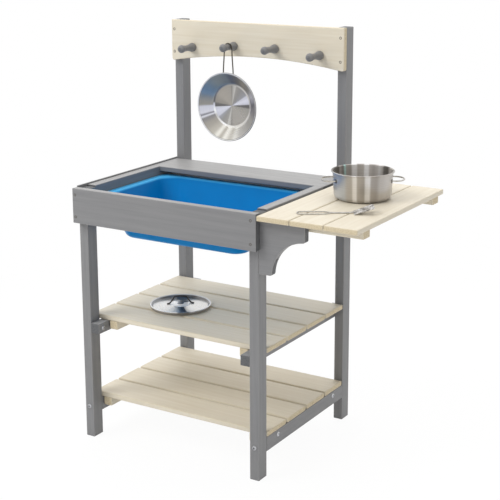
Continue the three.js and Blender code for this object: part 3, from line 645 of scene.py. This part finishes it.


# Fans are (degrees round the axis, colour), on the outer and on the inner skin: painted reflections,
# highlights and shade
pot = {
    "centre": (0.251, 0.03475),
    "turn": 31.6,  # degrees about the vertical
    "radius": 0.068,
    "baseRadius": 0.065,  # where the wall meets the round of the base
    "height": 0.0643,
    "sheet": 0.0012,
    "roll": 0.0017,
    "baseRound": 0.011,
    "turns": 96,
    "handleHeight": 0.0438,
    "reach": 0.025,
    "halfSpan": 0.025,
    "bendShares": ((0.3, 0.99), (0.72, 0.76)),  # of the reach and the half span, from the wall out
    "wire": 0.00175,
    "plate": (0.0095, 0.009, 0.0008),  # width, height and thickness
    "plateCorner": 0.003,
    "rivet": 0.0022,
    "rivetDrop": 0.0001,  # below the middle of its plate
    "dome": 0.55,  # height of a rivet's head as a share of its radius
    "outer": ((-180, "#c2beb9"), (-150, "#c3c2c1"), (-122, "#c0c4ca"), (-104, "#b9bcc0"), (-93, "#b1aca6"),
              (-86, "#b1aca5"), (-82, "#dedbd8"), (-77, "#e2e0de"), (-73, "#aea8a1"), (-62, "#a7a19a"),
              (-58, "#d9d7d5"), (-52, "#dcdad9"), (-47, "#a29c96"), (-38, "#9c9690"), (-28, "#b5b0ab"),
              (-8, "#c1bcb7"), (20, "#cfccc9"), (60, "#a39f9a"), (95, "#c4c0bb"), (120, "#9b9793"),
              (140, "#cfccc8"), (160, "#a09c98")),
    "inner": ((-180, "#807c76"), (-160, "#96918b"), (-90, "#c0bbb5"), (-30, "#c0bbb5"), (20, "#a6a19b"),
              (50, "#d9d4ce"), (60, "#726d68"), (70, "#807c77"), (76, "#d9d4d0"), (82, "#f2f0ee"),
              (88, "#d9d4d0"), (95, "#c6c1bc"), (103, "#d3ceca"), (106, "#ffffff"), (112, "#ffffff"),
              (116, "#cbc6c0"), (126, "#c4bfb9"), (130, "#fbfaf9"), (137, "#fbfaf9"), (141, "#b2ada7"),
              (150, "#bbb6b0"), (154, "#c9ece8"), (159, "#948f8a"), (167, "#bbb6b2"), (173, "#726d68")),
}


def addWire(name, points, radius, body, replaced, material):
    # a smooth wire through points, as a curve made into a mesh
    data = bpy.data.curves.new(name, "CURVE")
    data.dimensions = "3D"
    data.bevel_depth = radius
    data.bevel_resolution = 3
    data.use_fill_caps = True
    data.resolution_u = 8
    spline = data.splines.new("BEZIER")
    spline.bezier_points.add(len(points) - 1)
    for point, co in zip(spline.bezier_points, points):
        point.co = co
        point.handle_left_type = point.handle_right_type = "AUTO"
    curve = bpy.data.objects.new(name + "_line", data)
    bpy.context.scene.collection.objects.link(curve)
    bpy.context.view_layer.update()
    bm = bmesh.new()
    mesh = curve.evaluated_get(bpy.context.evaluated_depsgraph_get()).to_mesh()
    bm.from_mesh(mesh)
    bpy.data.objects.remove(curve)
    bmesh.ops.remove_doubles(bm, verts=bm.verts, dist=1e-6)
    return finishPiece(name, bm, body, material, replaced, sharpAngle=50)


def addRivet(bm, radius, matrix):
    # a low domed head on the plane at matrix
    made = bmesh.ops.create_uvsphere(bm, u_segments=16, v_segments=8, radius=radius)
    verts = made["verts"]
    lower = [vert for vert in verts if vert.co.z < -1e-6]
    bmesh.ops.delete(bm, geom=lower, context="VERTS")
    verts = [vert for vert in verts if vert.is_valid]
    bmesh.ops.transform(bm, verts=verts, matrix=matrix @ Matrix.Diagonal((1, 1, pot["dome"], 1)))


def addPot():
    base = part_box("pot_body")[0].z
    place = Matrix.Translation((*pot["centre"], base)) @ Matrix.Rotation(math.radians(pot["turn"]), 4, "Z")
    radius, height, roll = pot["radius"], pot["height"], pot["roll"]
    bm = bmesh.new()
    lean = (radius - pot["baseRadius"]) / (height - 2 * roll - pot["baseRound"])
    foot = pot["baseRadius"] - lean * pot["baseRound"]
    spinProfile(bm, ((0, 0), (foot, 0), (radius, height - roll)), pot["turns"])
    roundRing(bm, foot, 0, pot["baseRound"], 6)
    sheetSkin(bm, pot["sheet"])
    addBead(bm, radius + roll, height - roll, roll, pot["turns"])
    bmesh.ops.transform(bm, verts=bm.verts, matrix=place)
    centre = (*pot["centre"], base)
    steel = spunSteel("spun_stainless_pot", centre, "Z", [(0, pot["inner"], spun["metal"])], pot["outer"])
    finishPiece("pot_spun", bm, "pot", steel, ["pot_body"], sharpAngle=40)
    out, span = pot["reach"], pot["halfSpan"]
    wallRadius = foot + lean * pot["handleHeight"]
    half = [(math.sqrt(wallRadius**2 - span**2), span)]
    half += [(radius + out * outShare, span * wideShare) for outShare, wideShare in pot["bendShares"]]
    line = [(x, -y) for x, y in half] + [(radius + out, 0)] + half[::-1]
    for side, turn in (("left", math.pi), ("right", 0)):
        flip = place @ Matrix.Rotation(turn, 4, "Z")
        points = [flip @ Vector((x, y, pot["handleHeight"])) for x, y in line]
        addWire("pot_loop_" + side, points, pot["wire"], "pot", ["pot_handle_" + side], wirePaintedLight)
    plates = bmesh.new()
    width, tall, thick = pot["plate"]
    for turn in (0, math.pi):
        for sign in (-1, 1):
            around = turn + sign * math.asin(span / wallRadius)
            spot = (
                place @ Matrix.Rotation(around, 4, "Z")
                @ Matrix.Translation((wallRadius, 0, pot["handleHeight"]))
                @ Matrix.Rotation(math.pi / 2, 4, "Y")
            )
            top = spot @ Matrix.Translation((0, 0, thick))
            face = roundedPlate(plates, top, tall, width, pot["plateCorner"], 4)
            grown = bmesh.ops.extrude_face_region(plates, geom=[face])
            moved = [v for v in grown["geom"] if isinstance(v, bmesh.types.BMVert)]
            inward = (spot.to_3x3() @ Vector((0, 0, -1))).normalized() * (2 * thick)
            bmesh.ops.translate(plates, verts=moved, vec=inward)
            addRivet(plates, pot["rivet"], spot @ Matrix.Translation((pot["rivetDrop"], 0, thick)))
    bmesh.ops.recalc_face_normals(plates, faces=plates.faces)
    finishPiece("pot_plates", plates, "pot", plateSteel, (), sharpAngle=40)


addPot()
print("pot made")


# Profile from the middle out; the rings of fans, painted reflections, highlights and shade, start at the
# radii that end in From
lid = {
    "centre": (-0.21, -0.02425),
    "turn": 38,
    "profile": ((0, 0.0085), (0.025, 0.0085), (0.026, 0.0075), (0.0645, 0.003), (0.0683, 0.003),
                (0.0710, 0.0074), (0.0720, 0.0070)),
    "flange": (0.0721, 0.0006),  # radius and foot of the ring under the rim, which drops into the pot
    "eased": 0.0006,
    "radius": 0.075,
    "sheet": 0.0012,
    "height": 0.009,
    "roll": 0.0018,
    "turns": 96,
    "roughness": 0.13,
    "outerFrom": 0.8,
    "wire": 0.00175,
    "discTop": 0.0062,  # under the feet of the handle
    "clear": 0.0003,  # between the feet and the disc
    "toeRise": (0.0002, 0.0012),  # how far a foot lifts halfway and at its bend
    "footRadius": 0.033,
    "footLength": 0.006,
    "barHalfLength": 0.015,
    "barHeight": 0.026,
    "kneeOut": 0.003,  # the legs' upper bend, beyond the end of the bar and below it
    "kneeDrop": 0.0062,
    "shoulder": 0.004,  # the bar's end bend, along it and below it
    "shoulderDrop": 0.0012,
    "bossFrom": 0.0085,
    "stepFrom": 0.0228,
    "discFrom": 0.0268,
    "grooveFrom": 0.0668,
    "rimFrom": 0.0712,
    "middle": ((-180, "#32495f"), (-60, "#263d54"), (60, "#2c435a"), (120, "#344d63")),
    "boss": ((-180, "#ffffff"), (-110, "#ffffff"), (-70, "#e4e2df"), (-30, "#ffffff"), (48, "#ffffff"),
             (60, "#8796a5"), (72, "#2b4258"), (100, "#314a60"), (146, "#2b445c"), (158, "#9aa5af"),
             (168, "#ffffff")),
    "step": ((-180, "#dfdedc"), (-150, "#ffffff"), (-30, "#ffffff"), (20, "#eeece8"), (60, "#8a949d"),
             (110, "#4f6478"), (150, "#8d979f")),
    "disc": ((-180, "#e2e1e0"), (-130, "#eae9e7"), (-98, "#e2e2e1"), (-84, "#c6c9cc"), (-70, "#a2aab2"),
             (-62, "#6e8195"), (-57, "#44607d"), (-51, "#29435f"), (-42, "#2d4863"), (-38, "#dddcd9"),
             (-10, "#f0eeea"), (62, "#e4e2df"), (92, "#a6adb4"), (112, "#50687f"), (130, "#3f5973"),
             (138, "#d0d0d0")),
    "groove": ((-180, "#a3a3a3"), (-120, "#c2c2c1"), (-62, "#cbcac9"), (-57, "#50677f"), (-43, "#50677f"),
               (-38, "#c6c5c4"), (0, "#c2c1bf"), (40, "#a3a19f"), (70, "#8a8682"), (110, "#7c7874"),
               (150, "#8a8682")),
    "rim": ((-180, "#f4f2ef"), (-64, "#ffffff"), (-58, "#5d6f80"), (-42, "#5d6f80"), (-36, "#ffffff"),
            (100, "#efedea")),
    "outer": ((-180, "#b3afaa"), (-110, "#a5a09a"), (-55, "#8b8680"), (30, "#a5a09a"), (100, "#b3afaa")),
}


def addLid():
    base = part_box("lid_disc")[0].z
    place = Matrix.Translation((*lid["centre"], base)) @ Matrix.Rotation(math.radians(lid["turn"]), 4, "Z")
    bm = bmesh.new()
    spinProfile(bm, (*lid["profile"], lid["flange"]), lid["turns"])
    for radius, height in lid["profile"][1:6]:
        roundRing(bm, radius, height, lid["eased"], 2)
    turnUp(bm, min(bm.faces, key=lambda face: face.calc_center_median().length))
    sheetSkin(bm, lid["sheet"])
    addBead(bm, lid["radius"] - lid["roll"], lid["height"] - lid["roll"], lid["roll"], lid["turns"])
    bmesh.ops.transform(bm, verts=bm.verts, matrix=place)
    centre = (*lid["centre"], base)
    rings = [
        (0, lid["middle"], spun["rimMetal"]), (lid["bossFrom"], lid["boss"], spun["rimMetal"]),
        (lid["stepFrom"], lid["step"], spun["rimMetal"]), (lid["discFrom"], lid["disc"], spun["metal"]),
        (lid["grooveFrom"], lid["groove"], spun["rimMetal"]), (lid["rimFrom"], lid["rim"], spun["rimMetal"]),
    ]
    steel = spunSteel(
        "spun_stainless_lid", centre, "Z", rings, lid["outer"], lid["outerFrom"], lid["roughness"],
    )
    finishPiece("lid_spun", bm, "lid", steel, ["lid_disc"], sharpAngle=40)
    foot, toe, bar = lid["footRadius"], lid["footLength"], lid["barHalfLength"]
    lift = lid["discTop"] + lid["wire"] + lid["clear"]
    half = [
        (foot, lift), (foot - toe / 2, lift + lid["toeRise"][0]), (foot - toe, lift + lid["toeRise"][1]),
        (bar + lid["kneeOut"], lid["barHeight"] - lid["kneeDrop"]),
        (bar, lid["barHeight"] - lid["shoulderDrop"]), (bar - lid["shoulder"], lid["barHeight"]),
    ]
    points = [place @ Vector((x, 0, z)) for x, z in half + [(-x, z) for x, z in reversed(half)]]
    addWire("lid_loop", points, lid["wire"], "lid", ["lid_handle"], wirePaintedDarkest)


addLid()
print("lid made")


# Built with its base at 0 and its mouth up, then hung; the rings of fans, painted reflections, highlights and
# shade, start at their insets from the edge of the base or of the rim
pan = {
    "radius": 0.0855,
    "baseRadius": 0.0555,
    "depth": 0.028,
    "sheet": 0.0012,
    "roll": 0.0017,
    "baseRound": 0.005,
    "turns": 96,
    "seamInset": 0.0050,
    "wallInset": 0.0004,
    "rimInset": 0.0034,
    "edgeInset": 0.0014,
    "drop": 0.1465,  # from the peg to the middle of the pan
    "wirePlane": 0.018,  # over the base of the pan
    "footHalfWidth": 0.0145,
    "pinch": 0.0003,  # how much closer the legs are where they pass the rim
    "arch": 0.01,  # radius of the bend over the peg
    "lean": 0.0015,  # how far the legs spread below it
    "wire": 0.0016,
    "topGap": 0.0092,  # peg's middle to the middle of the wire over it
    "floor": ((-180, "#706e6d"), (-175, "#6b6968"), (-171, "#d4d4dd"), (-160, "#dedee8"), (-146, "#d4d4dd"),
              (-138, "#a5a5aa"), (-126, "#9e9c99"), (-110, "#a5a29d"), (-104, "#c6c4bf"), (-97, "#b9b6b1"),
              (-93, "#93908c"), (-86, "#a8a49e"), (-45, "#aaa6a0"), (-8, "#a19e98"), (-1, "#6d6b6a"),
              (5, "#6d6b6a"), (9, "#cfcfd8"), (20, "#dedee8"), (31, "#cfcfd8"), (37, "#9c9b9f"),
              (60, "#959391"), (73, "#9c9995"), (79, "#c2bfba"), (85, "#b3b0ab"), (91, "#918e8a"),
              (96, "#a5a099"), (140, "#a9a39b"), (170, "#9a958e")),
    "seam": ((-180, "#d9d9e2"), (-164, "#ffffff"), (-148, "#c9c7c6"), (-132, "#e6e4e1"), (-118, "#ffffff"),
             (-100, "#efece6"), (-70, "#dedbd5"), (-35, "#d3d0cb"), (0, "#a9a6a4"), (28, "#cbc8c4"),
             (60, "#cfcac2"), (90, "#a8a5a1"), (140, "#8f9096"), (172, "#6f6e6e")),
    "wall": ((-180, "#aaa59d"), (-176, "#dcdce6"), (-164, "#dcdce6"), (-160, "#85858c"), (-157, "#e2e2ea"),
             (-153, "#918f90"), (-140, "#a8a39b"), (-122, "#bfbab0"), (-112, "#efece3"), (-104, "#bdb8ae"),
             (-96, "#f2efe7"), (-84, "#cac6bd"), (-74, "#eceae3"), (-60, "#d3d0c9"), (-30, "#c4c1bb"),
             (-8, "#98959a"), (12, "#85838a"), (28, "#bdbab8"), (42, "#a39e96"), (56, "#b0a89b"),
             (70, "#94908c"), (86, "#8c8f98"), (98, "#a6acae"), (130, "#b4b9b4"), (156, "#c0c3bf"),
             (164, "#bdb7ac")),
    "rim": ((-180, "#f0eff2"), (-90, "#f7f5f1"), (0, "#c5c3c4"), (90, "#d5d7dc")),
    "edge": ((-180, "#7d7b7b"), (-135, "#5f5c58"), (-90, "#676460"), (-30, "#7d7a77"), (90, "#a9abaf")),
    "outer": ((-180, "#8a8783"), (-135, "#565350"), (-60, "#615e5a"), (0, "#8f8c88"), (90, "#b3b0ad")),
}


def addPan():
    low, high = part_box("pan_body")
    centre = Vector(((low.x + high.x) / 2, high.y, (low.z + high.z) / 2))
    place = Matrix.Translation(centre) @ Matrix.Rotation(math.pi / 2, 4, "X")
    bm = bmesh.new()
    wallTop = pan["radius"] - 2 * pan["roll"]
    base, rim, brim = pan["baseRadius"], pan["radius"], pan["depth"] - pan["roll"]
    spinProfile(bm, ((0, 0), (base, 0), (wallTop, brim)), pan["turns"])
    roundRing(bm, base, 0, pan["baseRound"], 4)
    sheetSkin(bm, pan["sheet"])
    addBead(bm, rim - pan["roll"], brim, pan["roll"], pan["turns"])
    bmesh.ops.transform(bm, verts=bm.verts, matrix=place)
    rings = [
        (0, pan["floor"], spun["metal"]), (base - pan["seamInset"], pan["seam"], spun["metal"]),
        (base - pan["wallInset"], pan["wall"], spun["metal"]),
        (rim - pan["rimInset"], pan["rim"], spun["rimMetal"]),
        (rim - pan["edgeInset"], pan["edge"], spun["rimMetal"]),
    ]
    steel = spunSteel("spun_stainless_pan", centre, "Y", rings, pan["outer"])
    finishPiece("pan_spun", bm, "pan", steel, ["pan_body"], sharpAngle=40)
    top = pan["drop"] + pan["topGap"]
    foot, arch = pan["footHalfWidth"], pan["arch"]
    wallAt = base + (wallTop - base) * pan["wirePlane"] / brim  # radius of the wall at the wire's feet
    half = [
        (foot, math.sqrt(wallAt**2 - foot**2)), (foot - pan["pinch"], rim),
        (arch + pan["lean"], top - 3 * arch), (arch, top - arch),
        (arch * math.sqrt(0.5), top - arch * (1 - math.sqrt(0.5))),
    ]
    line = half + [(0, top)] + [(-x, z) for x, z in reversed(half)]
    points = [place @ Vector((x, z, pan["wirePlane"])) for x, z in line]
    addWire("pan_loop", points, pan["wire"], "pan", ["pan_handle"], wirePaintedDarker)


addPan()
print("pan made")


# Laid on the table: the loop's tip, then along the handle to the neck, and up the tilted blade
turner = {
    "tip": (0.1945, -0.16725),
    "turn": 30.8,
    "length": 0.104,
    "neck": 0.018,
    "loop": 0.011,  # half width of the loop
    "wire": 0.0012,
    "spacing": 0.0032,
    "weld": 0.012,
    "tilt": 18.5,
    "blade": 0.0015,
    "weldGap": 0.0002,  # between the wire and the blade
    "neckRise": 0.0003,
    "stemShares": ((0.8, 0), (0.72, 0.1), (0.56, 0.88), (0.3, 1)),  # of the length, and of the way out
    "tipShares": ((0.9, 0.97), (0.25, 0.7)),  # of the loop, along and across
}


def addTurner():
    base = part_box("turner_handle")[0].z
    place = Matrix.Translation((*turner["tip"], base)) @ Matrix.Rotation(math.radians(turner["turn"]), 4, "Z")
    length, loop, half, wire = turner["length"], turner["loop"], turner["spacing"] / 2, turner["wire"]
    heel = length + turner["neck"]
    tilt = math.radians(turner["tilt"])
    over = turner["blade"] + turner["weldGap"] + wire
    side = [
        (heel + along * math.cos(tilt) - over * math.sin(tilt),
         along * math.sin(tilt) + over * math.cos(tilt), half)
        for along in (turner["weld"], turner["weld"] / 2, 0)
    ]
    side += [(heel - turner["neck"] / 2, wire + turner["neckRise"], half), (length, wire, half)]
    side += [(length * along, wire, half + (loop - half) * out) for along, out in turner["stemShares"]]
    side += [(loop * along, wire, loop * out) for along, out in turner["tipShares"]]
    line = side + [(wire, wire, 0)] + [(x, z, -y) for x, z, y in reversed(side)]
    points = [place @ Vector((x, y, z)) for x, z, y in line]
    addWire("turner_loop", points, wire, "turner", ["turner_handle"], wirePaintedLight)


addTurner()
print("turner made")


# Bolts: button heads with a deep socket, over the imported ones
bolt = {
    "head": 0.0055,
    "height": 0.0025,
    "socket": 0.0026,
    "depth": 0.0045,
    "sunk": 0.0005,
    "floorShare": 0.7,  # width of the socket's floor, of the socket
    "crownShares": ((0.62, 1), (0.9, 0.62)),  # of the head and the height, from the top down
    "turns": 24,
}


def addBolt(node):
    low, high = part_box(node)
    size, middle = high - low, (low + high) / 2
    along = max(range(3), key=lambda axis: size[axis])  # the shank is longer than the head is wide
    out = -1 if middle[along] < 0 else 1
    if node.startswith("middle"):
        out = -out  # these two are set from inside the rails
    face = Vector(middle)
    face[along] = (high if out > 0 else low)[along] - out * bolt["height"]
    way = Vector((0, 0, 0))
    way[along] = out
    place = Matrix.Translation(face) @ way.to_track_quat("Z", "Y").to_matrix().to_4x4()
    bm = bmesh.new()
    head, height, socket = bolt["head"], bolt["height"], bolt["socket"]
    floor = height - bolt["depth"]
    crown = [(head * wide, height * up) for wide, up in bolt["crownShares"]]
    profile = (
        (0, floor), (socket * bolt["floorShare"], floor), (socket, height),
        *crown, (head, 0), (head, -bolt["sunk"]),
    )
    addTurned(bm, profile, bolt["turns"], place)
    finishPiece(node + "_head", bm, "stand", zincPlate, [node], sharpAngle=40)


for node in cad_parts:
    if "_bolt_" in node:
        addBolt(node)
print("bolts set")


# Screws: small countersunk heads with a deep recess, in the front board, the peg rail and the corbels
screw = {
    "head": 0.0034,
    "proud": 0.0003,
    "recess": 0.002,
    "recessDepth": 0.0026,
    "recessShares": (0.6, 0.8),  # where the recess narrows: of its radius and of its depth
    "faceShare": 0.86,  # flat face of the head, of its radius
    "sunk": 0.0006,
    "turns": 24,
    "front": ((-0.3635, 0.6065), (-0.3635, 0.554), (0.115, 0.6065), (0.115, 0.554)),
    "rail": ((-0.359, 0.9585), (-0.359, 0.902), (0.1145, 0.9585), (0.1145, 0.902)),
    "hollow": 0.083,  # radius of a corbel's hollow
    "hollowFrom": 0.033,  # from the corbel's back to the hollow at the level of its foot
    "rise": 25,  # degrees up the hollow
}


def addScrews(name, places, material):
    # each place is a matrix whose Z points out of the timber
    bm = bmesh.new()
    head, proud, recess, depth = screw["head"], screw["proud"], screw["recess"], screw["recessDepth"]
    narrow, deep = screw["recessShares"]
    profile = (
        (0, proud - depth), (recess * narrow, proud - depth * deep), (recess, proud),
        (head * screw["faceShare"], proud), (head, 0), (head, -screw["sunk"]),
    )
    for place in places:
        addTurned(bm, profile, screw["turns"], place)
    finishPiece(name, bm, "stand", material, (), sharpAngle=30)


def onFront(node, spots):
    # places on the front face of a board
    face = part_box(node)[0].y
    return [Matrix.Translation((x, face, z)) @ Matrix.Rotation(math.pi / 2, 4, "X") for x, z in spots]


def inHollow(node):
    # the place in a corbel's hollow, facing the middle of its arc
    low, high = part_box(node)
    middle = Vector((low.x + screw["hollowFrom"] + screw["hollow"], (low.y + high.y) / 2, low.z))
    turn = Matrix.Rotation(math.radians(90 + screw["rise"]), 4, "Y")
    return Matrix.Translation(middle) @ turn @ Matrix.Translation((0, 0, -screw["hollow"]))


# the screws' dark zinc is painted shade of their recesses
addScrews("front_board_screws", onFront("front_board", screw["front"]), screwZincPaintedShade)
addScrews("peg_rail_screws", onFront("peg_rail_board", screw["rail"]), screwZincPaintedShade)
# the corbel screws' black is also painted shade of their holes
addScrews("corbel_screws", [inHollow(node) for node in ("corbel_front", "corbel_rear")], screwBlackHoleShade)
print("screws set")


stageSet = {
    "floorColour": "#f4f4f3",
    "floorMottle": "#f7f7f6",
    "floorHalf": 15,
    "clearFrom": 0.7,  # the floor turns plain white for the camera over this stretch
    "clearTo": 1.6,
    "clearNear": 0.95,  # how much of that white shows beside the legs, over the shadow
    "ambient": 0.6,
    "aim": (-0.05, 0, 0.5),
    "lamps": (
        # name, place, size, power in watts
        ("key", (-2.0, -2.6, 3.5), 2.2, 110),
        ("top", (0.2, 0.2, 3.6), 2.4, 28),
        ("fill", (3.2, -1.2, 1.6), 2.0, 8),
        ("back", (-1.8, 2.9, 3.3), 4.2, 112),
    ),
}


def seenRays(tree):
    # 1 for rays that show the background: from the camera, off gloss and through glass
    path = addNode(tree, "LightPath").outputs
    seen = addNode(tree, "Math", {
        0: path["Is Camera Ray"], 1: path["Is Glossy Ray"],
    }, operation="MAXIMUM").outputs[0]
    return addNode(tree, "Math", {0: seen, 1: path["Is Transmission Ray"]}, operation="MAXIMUM").outputs[0]


def addFloor():
    material, tree, shader = startMaterial("white_floor")
    place = addNode(tree, "TexCoord").outputs["Object"]
    far = addNode(tree, "VectorMath", {0: place}, operation="LENGTH").outputs[1]
    clear = addNode(tree, "MapRange", {
        "Value": far, "From Min": stageSet["clearFrom"], "From Max": stageSet["clearTo"],
        "To Min": stageSet["clearNear"],
    }, interpolation_type="SMOOTHSTEP").outputs[0]
    white = addNode(tree, "Math", {0: clear, 1: seenRays(tree)}, operation="MULTIPLY").outputs[0]
    glow = addNode(tree, "Emission", {"Color": (1, 1, 1, 1), "Strength": 1.0}).outputs[0]
    paper = addNode(tree, "TexNoise", {"Vector": place, "Scale": 1 / 0.03, "Detail": 2.0}).outputs[0]
    colour = addNode(tree, "Mix", {
        0: paper, 6: linear(stageSet["floorColour"]), 7: linear(stageSet["floorMottle"]),
    }, data_type="RGBA").outputs[2]
    setInputs(tree, shader, {"Base Color": colour, "Roughness": 0.9})
    both = addNode(tree, "MixShader", {0: white, 1: shader.outputs[0], 2: glow}).outputs[0]
    out = [node for node in tree.nodes if node.type == "OUTPUT_MATERIAL"][0]
    setInputs(tree, out, {"Surface": both})
    bm = bmesh.new()
    bmesh.ops.create_grid(bm, x_segments=1, y_segments=1, size=stageSet["floorHalf"])
    mesh = bpy.data.meshes.new("floor")
    bm.to_mesh(mesh)
    bm.free()
    mesh.materials.append(material)
    floor = bpy.data.objects.new("floor", mesh)
    bpy.context.scene.collection.objects.link(floor)


def addWorld():
    world = bpy.data.worlds.new("studio")
    bpy.context.scene.world = world
    world.use_nodes = True
    tree = world.node_tree
    tree.nodes.clear()
    strength = addNode(tree, "MapRange", {
        "Value": seenRays(tree), "To Min": stageSet["ambient"], "To Max": 1.0,
    }).outputs[0]
    sky = addNode(tree, "Background", {"Color": (1, 1, 1, 1), "Strength": strength}).outputs[0]
    addNode(tree, "OutputWorld", {"Surface": sky})


def addLamps():
    aim = Vector(stageSet["aim"])
    for name, place, size, power in stageSet["lamps"]:
        data = bpy.data.lights.new(name, "AREA")
        data.shape = "SQUARE"
        data.size = size
        data.energy = power
        lamp = bpy.data.objects.new(name, data)
        lamp.location = place
        lamp.rotation_euler = (aim - Vector(place)).to_track_quat("-Z", "Y").to_euler()
        lamp.visible_glossy = False  # gloss shows the white room, not the lamps
        bpy.context.scene.collection.objects.link(lamp)


addFloor()
addWorld()
addLamps()
bpy.context.scene.view_settings.view_transform = "Standard"
print("stage lit")
